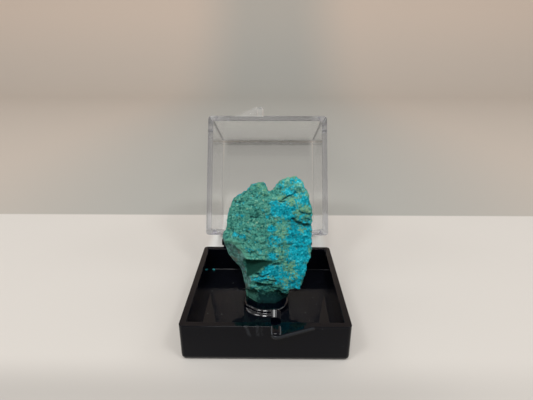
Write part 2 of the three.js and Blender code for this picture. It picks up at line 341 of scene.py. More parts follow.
def combined(name, base, steps):
    """The base mesh with each (operation, mesh) applied in turn.

    The meshes are joined in millimetres, where the solver keeps every edge closed.
    """
    grow = Matrix.Scale(1 / MM, 4)
    base.transform(grow)
    piece = new_object(name, base)
    tools = []
    for operation, mesh in steps:
        mesh.transform(grow)
        tools.append(new_object("tool", mesh))
        modify(piece, "join", "BOOLEAN", operation=operation, solver="EXACT", object=tools[-1])
    result = applied(piece, name)
    for tool in tools:
        bpy.data.objects.remove(tool)
    result.transform(grow.inverted())
    return result


def smooth_shaded(piece, angle):
    """Smooth shading with sharp creases, and flat faces that stay flat."""
    mesh = piece.data
    mesh.set_sharp_from_angle(angle=math.radians(angle))
    level = [max(map(abs, face.normal)) > 0.99999 for face in mesh.polygons]
    rounded = [
        not flat and (len(face.vertices) <= 4 or face.area < MM * MM)
        for flat, face in zip(level, mesh.polygons)
    ]
    mesh.polygons.foreach_set("use_smooth", rounded)
    modify(piece, "flat faces", "WEIGHTED_NORMAL", keep_sharp=True, weight=100)


def make_piece(name, mesh, material, body, node=None, crease=None):
    """Adds one piece to the scene, with its material and its place in the frame."""
    piece = new_object(name, mesh)
    if crease:
        smooth_shaded(piece, crease)
    mesh.materials.clear()
    mesh.materials.append(material)
    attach(piece, body)
    if node:
        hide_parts(node)


# ---------------- material tools


def shade(tint, share):
    """The tint made darker or lighter."""
    return [share * value for value in tint]


class Nodes:
    """A small helper that adds nodes to one node tree."""

    def __init__(self, tree):
        self.tree = tree

    def node(self, kind, inputs=None, **settings):
        """A new node with these settings, its inputs linked or filled by name or by number."""
        made = self.tree.nodes.new(kind)
        for key, value in settings.items():
            setattr(made, key, value)
        for key, value in (inputs or {}).items():
            self.feed(made.inputs[key], value)
        return made

    def feed(self, socket, value):
        """Links the socket, or fills it with a plain value."""
        if isinstance(value, bpy.types.NodeSocket):
            self.tree.links.new(value, socket)
        else:
            socket.default_value = value


class Shader(Nodes):
    """One material's nodes. Sizes and distances are in millimetres."""

    def __init__(self, name):
        self.material = bpy.data.materials.new(name)
        self.material.use_nodes = True
        super().__init__(self.material.node_tree)
        self.tree.nodes.clear()
        self.surface = self.node("ShaderNodeBsdfPrincipled")
        self.output = self.node("ShaderNodeOutputMaterial", {"Surface": self.surface.outputs[0]})
        self.place = self.node("ShaderNodeTexCoord").outputs["Object"]

    def set(self, **values):
        """Links or fills the surface's own inputs."""
        for name, value in values.items():
            self.feed(self.surface.inputs[name.replace("_", " ")], value)

    def parts(self, vector):
        """The vector's X, Y and Z."""
        return self.node("ShaderNodeSeparateXYZ", {0: vector}).outputs

    def noise(self, size, detail=3.0, roughness=0.55, stretch=(1, 1, 1), turn=(0, 0, 0), distortion=0.0):
        """Noise from 0 to 1 whose features are about one size across."""
        moved = self.node("ShaderNodeMapping", {"Vector": self.place, "Scale": stretch, "Rotation": turn})
        return self.node("ShaderNodeTexNoise", {
            "Vector": moved.outputs[0], "Scale": 1.0 / (size * MM), "Detail": detail,
            "Roughness": roughness, "Distortion": distortion,
        }).outputs["Fac"]

    def cells(self, size):
        """Distance to the nearest of many scattered points."""
        inputs = {"Vector": self.place, "Scale": 1.0 / (size * MM)}
        return self.node("ShaderNodeTexVoronoi", inputs).outputs["Distance"]

    def grains(self, size):
        """Three random values from 0 to 1, each the same all over a ragged grain."""
        often = 1.0 / (size * MM)
        shake = self.node("ShaderNodeTexNoise", {"Vector": self.place, "Scale": often})
        inputs = {0: shake.outputs["Color"], 1: (size * MM,) * 3, 2: self.place}
        moved = self.node("ShaderNodeVectorMath", inputs, operation="MULTIPLY_ADD")
        cell = self.node("ShaderNodeTexVoronoi", {"Vector": moved.outputs[0], "Scale": often})
        return self.node("ShaderNodeSeparateColor", {0: cell.outputs["Color"]}).outputs[:3]

    def attribute(self, name):
        """A value stored on the mesh."""
        return self.node("ShaderNodeAttribute", attribute_name=name).outputs["Fac"]

    def math(self, operation, *values, clamp=False):
        """The values joined from the left. Only the last result is clamped."""
        total = values[0]
        for place, value in enumerate(values[1:], 2):
            last = place == len(values)
            made = self.node("ShaderNodeMath", {0: total, 1: value}, operation=operation)
            made.use_clamp = clamp and last
            total = made.outputs[0]
        return total

    def plus(self, *values, clamp=False):
        return self.math("ADD", *values, clamp=clamp)

    def minus(self, first, second):
        return self.math("SUBTRACT", first, second)

    def times(self, *values):
        return self.math("MULTIPLY", *values)

    def largest(self, *values):
        return self.math("MAXIMUM", *values)

    def absolute(self, value):
        return self.math("ABSOLUTE", value, 0.0)

    def between(self, value, low, high, to_low=0.0, to_high=1.0):
        """The value, eased from one range to another."""
        inputs = {"Value": value, "From Min": low, "From Max": high, "To Min": to_low, "To Max": to_high}
        return self.node("ShaderNodeMapRange", inputs, interpolation_type="SMOOTHSTEP").outputs[0]

    def along(self, value, low, high, *to):
        """The same for a place or a distance, with its range in millimetres."""
        return self.between(value, low * MM, high * MM, *to)

    def mix(self, factor, first, second, blend="MIX"):
        """One colour passing into another."""
        made = self.node("ShaderNodeMix", {"Factor": factor}, data_type="RGBA", blend_type=blend)
        for socket, value in ((made.inputs[6], first), (made.inputs[7], second)):
            self.feed(socket, value if isinstance(value, bpy.types.NodeSocket) else (*value, 1.0))
        return made.outputs[2]

    def bump(self, height, distance, strength=1.0):
        """Fine relief on the surface."""
        inputs = {"Strength": strength, "Distance": distance * MM, "Height": height}
        self.set(Normal=self.node("ShaderNodeBump", inputs).outputs[0])


TAB = {  # in millimetres, from the middle of the front wall
    "from": 1.0, "to": 9.2, "out": 2.7, "thick": 0.8, "round": 1.0, "rib": 1.9, "rise": 0.4,
    "soften": 0.34, "step": 0.012,  # the step keeps the tab's top out of the rim's plane
}

# Scuffs on the tray's front face: X at the top, slope, width, all in millimetres, and strength.
SCUFFS = [(-3.45, 0.33, 0.50, 0.10), (-1.45, 0.08, 0.48, 0.09), (-0.70, 0.12, 0.35, 0.04)]


def scuff_marks(s):
    """Three faint upright scuffs on the tray's front face."""
    x, y, z = s.parts(s.place)
    total = None
    for top_x, slope, width, strength in SCUFFS:
        drift = s.times(s.minus(7.6 * MM, z), slope)
        away = s.absolute(s.minus(s.minus(x, top_x * MM), drift))
        mark = s.along(away, width, 0.2 * width, 0.0, strength)
        total = mark if total is None else s.plus(total, mark)
    total = s.times(total, s.along(z, 5.2, 6.2))
    total = s.times(total, s.along(y, -15.4, -15.6))
    patchy = s.between(s.noise(0.5, detail=2), 0.30, 0.60, 0.3, 1.0)
    return s.times(total, patchy)


def edge_highlights_and_floor_dust(s):
    """Painted highlights along the tab's rounded edge and the rib's two sides, and a film of dust on the
    floor.
    """
    x, y, z = s.parts(s.place)
    out = s.along(y, -15.85, -16.0)
    lower, upper = s.along(z, 7.30, 7.50), s.along(z, 7.79, 7.72, 0.0, 0.11)
    rim = s.times(lower, upper)
    middle = (TAB["from"] + TAB["rib"] / 2 + 0.02) * MM
    off = s.absolute(s.minus(x, middle))
    raised = s.along(z, 7.83, 7.88, 0.0, 0.30)
    sides = s.times(s.along(off, 0.62, 0.74), raised)
    # Painted highlight: the tab's edge and the rib's sides are made paler.
    edge_highlight = s.times(out, s.plus(rim, sides))
    inside = s.largest(s.absolute(x), s.absolute(y))
    film = s.times(s.along(inside, 15.0, 14.8), s.along(z, 2.30, 2.05))
    return s.plus(edge_highlight, s.times(film, 0.016))


def black_plastic(context, name, gloss_from, gloss_to, bending):
    """Glossy black plastic with fine handling scratches, scuffs, a little dust, and painted highlights
    along the tab's edge and the rib's sides.
    """
    finish = context.scene.specimen_finish
    s = Shader(name)
    smudge = s.noise(3.5, detail=4)
    fine = s.noise(0.35, detail=2)
    scratch = s.noise(0.5, detail=2, stretch=(0.06, 3.0, 3.0), turn=(0.3, 0.2, 0.6))
    lines = s.between(scratch, 0.66, 0.70)
    speck = s.between(s.cells(0.9), 0.050, 0.030)
    chosen = s.between(s.noise(1.7, detail=0), 0.60, 0.64)
    dust = s.times(speck, chosen)
    pale = s.plus(dust, scuff_marks(s), edge_highlights_and_floor_dust(s), clamp=True)
    s.set(Base_Color=s.mix(pale, finish.black, finish.dust))
    gloss = s.between(smudge, 0.35, 0.75, gloss_from, gloss_to)
    worn = s.plus(gloss, s.times(lines, 0.10))
    s.set(Roughness=s.plus(worn, dust, clamp=True), IOR=bending)
    s.bump(s.plus(fine, s.times(smudge, 2.0)), 0.004, 0.35)
    return s.material


def clear_plastic(context):
    """Clear polished plastic: faint smudges, a frosted tab, and painted shade along the far inner top
    edge, down the far panel and over the top.
    """
    finish = context.scene.specimen_finish
    s = Shader("clear plastic")
    turn = Matrix.Rotation(LID_OPEN, 3, "X")
    shut = s.node("ShaderNodeMapping", {
        "Vector": s.place, "Rotation": (LID_OPEN, 0.0, 0.0), "Location": HINGE_AT - turn @ HINGE_AT,
    })
    x, y, z = s.parts(shut.outputs[0])
    smudge = s.noise(4.0, detail=4)
    tab = s.along(y, -15.9, -16.3, 0.0, 0.14)
    clips = s.along(y, 15.9, 16.2)
    rim = s.along(z, 8.45, 8.20, 0.0, 0.6)
    edge = s.times(s.along(y, -12.9, -13.9), s.along(z, 29.3, 29.9))
    top = s.along(z, 30.0, 30.3)
    panel = s.times(s.along(y, -7.0, -14.2), top)
    middle = s.along(s.absolute(x), 14.6, 12.2)
    # Painted shade: the tint is darkened along the far inner top edge, fading down the far panel, and a
    # little over the whole top.
    painted_lid_shade = s.times(s.plus(s.times(panel, 0.36), edge, clamp=True), middle)
    painted_lid_shade = s.plus(painted_lid_shade, s.times(top, 0.14), clamp=True)
    s.set(Base_Color=s.mix(painted_lid_shade, finish.clear, shade(finish.clear, 0.50)))
    absorb = s.node("ShaderNodeVolumeAbsorption", {"Color": (*finish.depth, 1.0), "Density": 23.0})
    s.feed(s.output.inputs["Volume"], absorb.outputs[0])
    rough = s.between(smudge, 0.35, 0.75, 0.01, 0.05)
    frosted = s.largest(tab, clips, rim, edge)
    s.set(Transmission_Weight=1.0, IOR=1.55, Roughness=s.plus(rough, s.times(frosted, 0.26)))
    s.bump(smudge, 0.010, 0.2)
    return s.material


def stone_surface(context):
    """Mottled green and blue chrysocolla, from the shares stored on the stone's mesh."""
    c = context.scene.specimen_colours
    s = Shader("rough chrysocolla")
    broad = s.noise(1.25, detail=5, roughness=0.66, distortion=0.5)
    mottle = s.noise(0.50, detail=4, roughness=0.66)
    fine = s.noise(0.24, detail=2, roughness=0.6)
    tone, kind, odd = s.grains(0.36)
    hollow = s.attribute("hollow")
    x, _, z = s.parts(s.place)
    centre = lambda value, weight: s.times(s.minus(value, 0.5), weight)

    # Painted shade: the relief share darkens hollows and cracks and leaves crests paler.
    light = s.plus(s.times(mottle, 0.55), s.times(fine, 0.45), centre(tone, 0.20))
    light = s.minus(light, s.times(hollow, 0.22))
    # Painted light on the stone's top right peak.
    peak_light = s.times(s.along(z, 21.0, 26.0), s.along(x, 2.0, 5.0))
    light = s.plus(light, s.times(peak_light, 0.08))
    green = s.mix(s.between(light, 0.22, 0.46), c.green_deep, c.green)
    green = s.mix(s.between(light, 0.46, 0.66), green, c.green_pale)
    blue = s.mix(s.between(light, 0.20, 0.44), c.blue_deep, c.blue)
    blue = s.mix(s.between(light, 0.46, 0.68), blue, c.blue_pale)

    wander = s.plus(centre(broad, 1.7), centre(mottle, 0.7))
    share = s.plus(s.attribute("blue"), wander, centre(kind, 0.20))
    body = s.mix(s.between(share, 0.38, 0.60), green, blue)
    olive = s.plus(s.attribute("olive"), s.plus(centre(odd, 0.9), centre(broad, -1.0)))
    body = s.mix(s.between(olive, 0.36, 0.66, 0.0, 0.9), body, s.mix(light, c.green, c.olive))
    tan = s.times(s.between(odd, 0.960, 0.985), s.between(share, 0.55, 0.35))
    body = s.mix(s.times(tan, 0.25), body, c.tan)
    # Painted shade: dark pits, more of them on the left.
    pitted_left = s.along(x, -2.5, -6.0, 0.0, 0.055)
    pits = s.plus(s.noise(0.42, detail=3, roughness=0.7), pitted_left)
    pits = s.between(pits, 0.615, 0.68, 0.0, 0.88)
    body = s.mix(pits, body, (0.006, 0.075, 0.075))

    cloud = s.noise(0.9, detail=5, roughness=0.70)
    broken = s.mix(s.between(cloud, 0.34, 0.66), shade(c.broken, 0.45), shade(c.broken, 1.8))
    slate = s.between(s.noise(0.8, detail=3), 0.56, 0.66, 0.0, 0.8)
    broken = s.mix(slate, broken, (0.085, 0.105, 0.180))
    brown = s.between(s.noise(1.5, detail=4, turn=(0.5, 0.2, 0.9)), 0.52, 0.64, 0.0, 0.75)
    broken = s.mix(brown, broken, (0.130, 0.125, 0.100))
    body = s.mix(s.times(s.attribute("broken"), 0.95), body, broken)
    lip = s.mix(mottle, shade(c.lip, 0.7), shade(c.lip, 1.3))
    body = s.mix(s.times(s.attribute("lip"), 0.7), body, lip)
    # Painted shade: the foot under the lobe is dark and darkest near the pedestal; painted light lifts its
    # left side, where more of its pale flecks show.
    foot = s.mix(s.between(broad, 0.44, 0.66), shade(c.foot, 0.25), shade(c.foot, 1.7))
    left = s.along(x, -1.0, -2.9, 0.0, 0.22)
    foot_share = s.attribute("foot")
    upper = s.times(foot_share, s.minus(0.40, s.times(foot_share, 0.40)))
    flecks = s.plus(mottle, left, upper)
    foot = s.mix(s.between(flecks, 0.57, 0.68, 0.0, 0.80), foot, c.lip)
    lowest = s.along(s.plus(z, s.times(left, 7.0 * MM)), 3.4, 5.2, 0.85, 0.0)
    foot = s.mix(lowest, foot, (0.001, 0.005, 0.005))
    body = s.mix(foot_share, body, foot)
    # Painted shade on the three-cornered facet.
    streaks = s.noise(0.6, detail=3, stretch=(2.5, 1, 0.5))
    facet = s.mix(streaks, shade(c.facet, 0.7), shade(c.facet, 1.3))
    body = s.mix(s.attribute("facet"), body, facet)
    # Painted shade in the deepest hollows and cracks.
    body = s.mix(s.between(hollow, 0.40, 1.0, 0.0, 0.70), body, (0.002, 0.028, 0.030))
    s.set(Base_Color=body, Roughness=s.between(fine, 0.3, 0.7, 0.70, 0.88), Specular_IOR_Level=0.10)
    s.bump(s.plus(fine, s.times(mottle, 1.5)), 0.115)
    return s.material


# ---------------- tray and lid


def tab_outline(wall_y):
    """The thumb tab in plan: deep and rounded at one end, running out into the wall."""
    deep, end, tip = TAB["from"] * MM, TAB["to"] * MM, wall_y - TAB["out"] * MM
    radius, root = TAB["round"] * MM, wall_y + 0.65 * MM
    rounding = [
        (deep + radius * (1 - math.cos(a)), tip + radius * (1 - math.sin(a)))
        for a in (math.radians(15 * i) for i in range(7))
    ]
    return [(deep, root), *rounding, (deep + TAB["rib"] * MM, tip + 0.15 * MM), (end, wall_y), (end, root)]


def thumb_tab(wall_y, rim_z, above):
    """The tab and the half-round rib that stiffens it, as two solids."""
    thick, rise, step = TAB["thick"] * MM, TAB["rise"] * MM, TAB["step"] * MM
    low = (rim_z if above else rim_z - thick) + step
    plate = prism(tab_outline(wall_y), low, low + thick, "Z", TAB["soften"] * MM)
    tip = wall_y - (TAB["out"] - 0.35) * MM
    root = wall_y + (1.2 if above else -0.08) * MM
    middle = (TAB["from"] + TAB["rib"] / 2 + 0.02) * MM
    wide = (TAB["rib"] / 2 - 0.03) * MM
    rings = []
    for back, share in ((0.0, 0.25), (0.06, 0.55), (0.18, 0.80), (0.36, 0.95), (0.6, 1.0)):
        rings.append(rib_ring(middle, wide, tip + back * MM, low, thick, rise, share))
    rings.append(rib_ring(middle, wide, root, low, thick, rise, 1.0))
    return plate, lofted("rib", rings)


def rib_ring(middle, wide, y, low, thick, rise, share):
    """The rib's outline across, its rounded top drawn down by the share at the tip."""
    top = low + thick
    across = wide * (0.75 + 0.25 * share)
    ring = [(middle - across, y, low + 0.1 * MM), (middle + across, y, low + 0.1 * MM)]
    for i in range(17):
        a = math.radians(180 * i / 16)
        bulge = rise * share * math.sin(a) ** 0.8
        ring.append((middle + across * math.cos(a), y, top - 0.02 * MM + bulge))
    return ring


# The catch behind the tray's tab, in Y and Z.
CATCH = [
    (-14.9, 4.6), (-14.5, 4.6), (-13.0, 6.2), (-13.0, 9.6), (-13.3, 9.6), (-14.28, 8.7),
    (-14.28, 7.6), (-14.9, 7.6),
]
KNUCKLE = {"radius": 0.95, "ends": (8.6, 11.6), "web": (9.0, 11.1), "drop": 3.4, "rod": 0.6}
CLIP = {"ends": (5.2, 7.9), "inner": 0.92, "outer": 1.5, "mouth": math.radians(76)}


def catch_mesh():
    """The catch, whose sloping top falls away on the right."""
    x_low, x_high = (TAB["from"] + 0.05) * MM, (TAB["from"] + TAB["rib"]) * MM
    middle, crown = (x_low + x_high) / 2 - 0.05 * MM, 4.2 * MM
    slices = 18
    rings = []
    for i in range(slices + 1):
        x = x_low + (x_high - x_low) * i / slices
        drop = 0.42 * (x - middle) if x > middle else (x - middle) ** 2 / (2 * crown)
        drop += 0.16 * MM * (abs(2 * i / slices - 1) ** 8)
        rings.append([(x, y * MM, z * MM - (drop if z > 8 else 0)) for y, z in CATCH])
    return lofted("catch", rings)


def both_sides(ends):
    """A pair of X values for the left side and for the right side."""
    low, high = (value * MM for value in ends)
    return (-high, -low), (low, high)


def tray_mesh(sizes):
    """The tray with its tab, catch, knuckles and hinge rod, as one closed mesh."""
    half = TRAY_HIGH.x
    height = sizes.tray_height
    base = shell("tray", half, sizes.tray_wall, height, sizes.tray_floor, 0.16 * MM, sizes)
    radius, drop = KNUCKLE["radius"] * MM, KNUCKLE["drop"] * MM
    y, z = HINGE_AT.y, HINGE_AT.z
    web = [
        (half - 0.5 * MM, height - drop), (y + radius * 0.7, z - radius * 0.7), (y, z),
        (y - radius * 0.75, z), (half - 0.1 * MM, height - 0.3 * MM), (half - 0.5 * MM, height - 0.3 * MM),
    ]
    steps = [("UNION", part) for part in thumb_tab(-half, height, False)]
    steps.append(("UNION", catch_mesh()))
    for (k0, k1), (w0, w1) in zip(both_sides(KNUCKLE["ends"]), both_sides(KNUCKLE["web"])):
        steps.append(("UNION", prism(web, w0, w1, "X", 0.1 * MM)))
        steps.append(("UNION", bar(k0, k1, radius, 0.28 * MM)))
    reach = sum(KNUCKLE["ends"]) / 2 * MM
    steps.append(("UNION", bar(-reach, reach, KNUCKLE["rod"] * MM, 0.0, 32)))
    return combined("tray", base, steps)


def lid_mesh(sizes):
    """The lid as it lies when shut, then swung open about the hinge."""
    box = 2 * TRAY_HIGH.x
    half = TRAY_HIGH.x - sizes.lid_inset
    rim = sizes.tray_height + sizes.rim_gap
    base = shell("lid", half, sizes.lid_wall, box - rim, sizes.lid_top, 0.35 * MM, sizes)
    base.transform(Matrix.Translation((0, 0, box)) @ Matrix.Diagonal((1, 1, -1, 1)))
    base.flip_normals()
    steps = []
    for part in thumb_tab(-half, rim, True):
        part.transform(Matrix.Diagonal((-1, 1, 1, 1)))
        part.flip_normals()
        steps.append(("UNION", part))
    inner, outer = CLIP["inner"] * MM, CLIP["outer"] * MM
    y, z = HINGE_AT.y, HINGE_AT.z
    mouth = math.sin(CLIP["mouth"] / 2) * outer
    root, foot = half - 0.6 * MM, rim + 0.15 * MM
    arm = [(root, foot), (y, foot), (y, z + outer), (root, z + outer)]
    gap = [(y - mouth, z - 2 * outer), (y + mouth, z - 2 * outer), (y + mouth, z), (y - mouth, z)]
    for low, high in both_sides(CLIP["ends"]):
        steps.append(("UNION", prism(arm, low, high, "X")))
        steps.append(("UNION", bar(low, high, outer, 0.12 * MM)))
    for low, high in both_sides(CLIP["ends"]):
        steps.append(("DIFFERENCE", bar(low - MM, high + MM, inner)))
        steps.append(("DIFFERENCE", prism(gap, low - MM, high + MM, "X")))
    lid = combined("lid", base, steps)
    to_hinge, turn = Matrix.Translation(HINGE_AT), Matrix.Rotation(-LID_OPEN, 4, "X")
    swing = to_hinge @ turn @ to_hinge.inverted()
    lid.transform(swing)
    return lid


def pedestal_mesh():
    """A low black disc, a little uneven, whose foot and shoulder slope in front and stand steep beside."""
    low, high = TRAY_FLOOR_Z / MM - 0.02, PEDESTAL_HIGH.z / MM - 0.04
    profile = [  # radius and height, in millimetres
        (5.10, low), (5.10, low + 0.04), (5.02, low + 0.14), (4.90, low + 0.27), (4.80, low + 0.35),
        (4.70, low + 0.39), (4.62, low + 0.44), (4.58, low + 0.52), (4.55, low + 0.62),
        (4.49, high - 0.30), (4.40, high - 0.20), (4.28, high - 0.09), (4.14, high - 0.02),
        (4.0, high), (2.5, high),
    ]
    steps = 120
    rings = []
    for radius, z in profile:
        ring = []
        for i in range(steps):
            a = i / steps * math.tau
            way = Vector((math.cos(a), math.sin(a), 0))
            wave = 1 + 0.012 * noise.noise(way * 2.6 + Vector((0, 0, z * 0.9)))
            flare = min(1.0, max(0.0, (radius - 4.55) / 0.45))
            for middle, wide, more in ((231, 0.40, 0.05), (268, 0.35, 0.02)):
                wave += flare * more * math.exp(-((a - math.radians(middle)) / wide) ** 2)
            side = min(1.0, max(0.0, (abs(way.x + 0.16) - 0.58) / 0.14)) if way.y < 0 else 1.0
            reach = (radius + 0.75 * side * (5.10 - max(radius, 4.40)) * (radius > 3.9)) * wave
            ring.append((reach * way.x * MM, reach * way.y * MM, z * MM))
        rings.append(ring)
    return lofted("pedestal", rings)


# ---------------- stone

LEAN = math.radians(16.6)
FOOT = np.array([0.0, -2.5, 3.0])
ALONG = np.array([0.0, math.sin(LEAN), math.cos(LEAN)])
OUTWARD = np.array([0.0, -math.cos(LEAN), math.sin(LEAN)])

# Patches on the front face, in millimetres in the leaning plane: middle, reach and strength.
BLUE_PATCHES = [
    (3.4, 20.9, 2.6, 1.8, 1.0), (7.6, 22.6, 2.6, 1.2, 0.8), (6.8, 27.2, 1.2, 1.2, 0.8),
    (5.2, 24.4, 2.2, 0.8, 0.8), (5.0, 19.4, 1.8, 1.0, 0.8), (7.6, 14.8, 3.2, 3.4, 1.0),
    (7.0, 11.2, 2.6, 2.6, 1.0), (1.2, 16.7, 0.9, 0.8, 0.9), (1.6, 13.8, 1.9, 1.4, 0.6),
    (1.4, 10.7, 1.3, 0.8, 0.9), (-3.0, 12.2, 1.6, 0.6, 0.5), (-6.7, 15.4, 1.0, 0.7, 0.6),
    (-5.2, 15.0, 0.9, 0.7, 0.7), (-5.0, 19.4, 0.7, 0.6, 0.45), (1.8, 7.2, 2.8, 1.6, 1.0),
    (4.8, 5.6, 3.0, 2.0, 0.9), (7.4, 7.6, 1.6, 2.6, 0.9), (0.2, 19.4, 0.9, 0.6, 0.5),
    (-1.6, 6.0, 2.0, 1.0, 0.6), (8.6, 19.2, 1.2, 1.4, 0.4),
]
OLIVE_PATCHES = [
    (5.9, 27.6, 1.2, 0.6, 0.6), (5.7, 22.4, 0.9, 0.8, 0.7), (8.0, 20.6, 1.6, 0.9, 0.8),
    (3.0, 16.6, 1.2, 0.9, 0.6), (3.6, 15.2, 1.2, 0.8, 0.5), (2.9, 11.3, 1.0, 1.0, 0.6),
    (5.0, 8.4, 1.5, 1.0, 0.8), (4.4, 5.4, 1.0, 1.3, 0.7), (-1.2, 26.0, 0.8, 0.6, 0.5),
    (3.2, 23.2, 1.0, 0.8, 0.6), (7.8, 16.4, 0.9, 0.6, 0.5), (-1.6, 25.0, 1.4, 1.0, 0.35),
    (6.4, 6.6, 0.8, 0.7, 0.5), (0.6, 11.9, 0.8, 0.6, 0.3),
]
# The lip above the broken side.
LIP_LINE = [(-9.6, 13.2), (-8.0, 14.1), (-6.4, 13.6), (-5.2, 12.2), (-4.2, 10.6), (-3.6, 9.6)]
# Cracks: their points, half width and depth, in millimetres.
CREASES = [
    ([(6.6, 18.1), (7.6, 17.9), (8.4, 17.5), (9.4, 17.3)], 0.28, 0.65),
    ([(5.7, 18.8), (6.2, 18.5), (6.8, 18.1)], 0.22, 0.50),
    ([(7.3, 20.6), (8.2, 20.2), (9.5, 19.9)], 0.26, 0.40),
    ([(5.3, 20.9), (6.2, 20.85)], 0.16, 0.35),
    ([(8.3, 18.9), (9.6, 18.5)], 0.16, 0.35),
    ([(3.5, 23.0), (4.8, 23.6), (6.1, 24.3)], 0.15, 0.40),
    ([(2.8, 22.7), (3.9, 22.6)], 0.14, 0.35),
    ([(-3.5, 19.3), (-2.8, 19.1), (-2.0, 18.9)], 0.13, 0.35),
    ([(-4.2, 16.1), (-3.6, 15.8), (-3.0, 15.5)], 0.13, 0.28),
    ([(4.7, 13.2), (5.4, 13.4), (6.3, 13.8)], 0.12, 0.28),
    ([(-6.9, 22.6), (-6.2, 22.3), (-5.4, 22.5)], 0.16, 0.25),
    ([(1.6, 8.9), (3.0, 9.0), (4.6, 8.6)], 0.16, 0.25),
    ([(-2.2, 6.7), (-0.8, 6.4), (0.6, 6.9)], 0.16, 0.40),
    ([(-1.4, 5.9), (0.2, 5.6), (2.0, 5.2)], 0.14, 0.35),
    ([(-1.8, 4.4), (-0.4, 4.1), (1.2, 4.3)], 0.28, 0.60),
    ([(1.2, 3.9), (2.6, 3.6), (4.4, 3.3)], 0.24, 0.55),
]


def patch_share(u, v, patches):
    """How strongly each place lies in any of the patches, 0 to 1."""
    share = np.zeros_like(u)
    for middle_u, middle_v, reach_u, reach_v, strength in patches:
        away = ((u - middle_u) / reach_u) ** 2 + ((v - middle_v) / reach_v) ** 2
        share = np.maximum(share, strength * np.exp(-0.7 * away))
    return share


def line_distance(u, v, line):
    """Distance from each place to an open line of points."""
    best = np.full_like(u, np.inf)
    for (u0, v0), (u1, v1) in zip(line, line[1:]):
        du, dv = u1 - u0, v1 - v0
        t = np.clip(((u - u0) * du + (v - v0) * dv) / (du * du + dv * dv), 0, 1)
        best = np.minimum(best, np.hypot(u - u0 - t * du, v - v0 - t * dv))
    return best


def step_between(low, high, value):
    """0 below low, 1 above high, and eased between them."""
    t = np.clip((value - low) / (high - low), 0, 1)
    return t * t * (3 - 2 * t)


def field(points, size, seed, octaves=1, stretch=(1, 1, 1)):
    """Smooth noise from about -1 to 1 at every point, features about one size across."""
    total = np.zeros(len(points))
    weight = 1.0
    scaled = points * np.array(stretch) / size
    for octave in range(octaves):
        shift = np.array([17.3, 5.1, 9.7]) * (seed + octave * 3)
        total += weight * np.array([noise.noise(Vector(p)) for p in scaled * 2.0 ** octave + shift])
        weight *= 0.5
    return total


def crumbly(points, size, seed, stretch=(1, 1, 1)):
    """Small rounded crumbs with sharp hollows between them, from 0 to about 1."""
    scaled = points * np.array(stretch) / size + 7.7 * seed
    return np.array([noise.voronoi(Vector(p))[0][1] - noise.voronoi(Vector(p))[0][0] for p in scaled])


def dense_stone(cell):
    """The stone's solid as an even, finely divided mesh."""
    rough = bmesh.new()
    rough.from_mesh(frame["nodes"]["specimen"].data)
    bmesh.ops.remove_doubles(rough, verts=rough.verts, dist=1e-6)
    mesh = bpy.data.meshes.new("stone")
    rough.to_mesh(mesh)
    rough.free()
    piece = new_object("stone source", mesh)
    modify(piece, "even cells", "REMESH", mode="VOXEL", voxel_size=cell)
    modify(piece, "soften", "SMOOTH", factor=0.5, iterations=4)
    modify(piece, "divide", "SUBSURF", levels=1, render_levels=1)
    return applied(piece, "stone")


def vectors(collection, key):
    """A vector value of every member, as rows."""
    values = np.empty(len(collection) * 3)
    collection.foreach_get(key, values)
    return values.reshape(-1, 3)


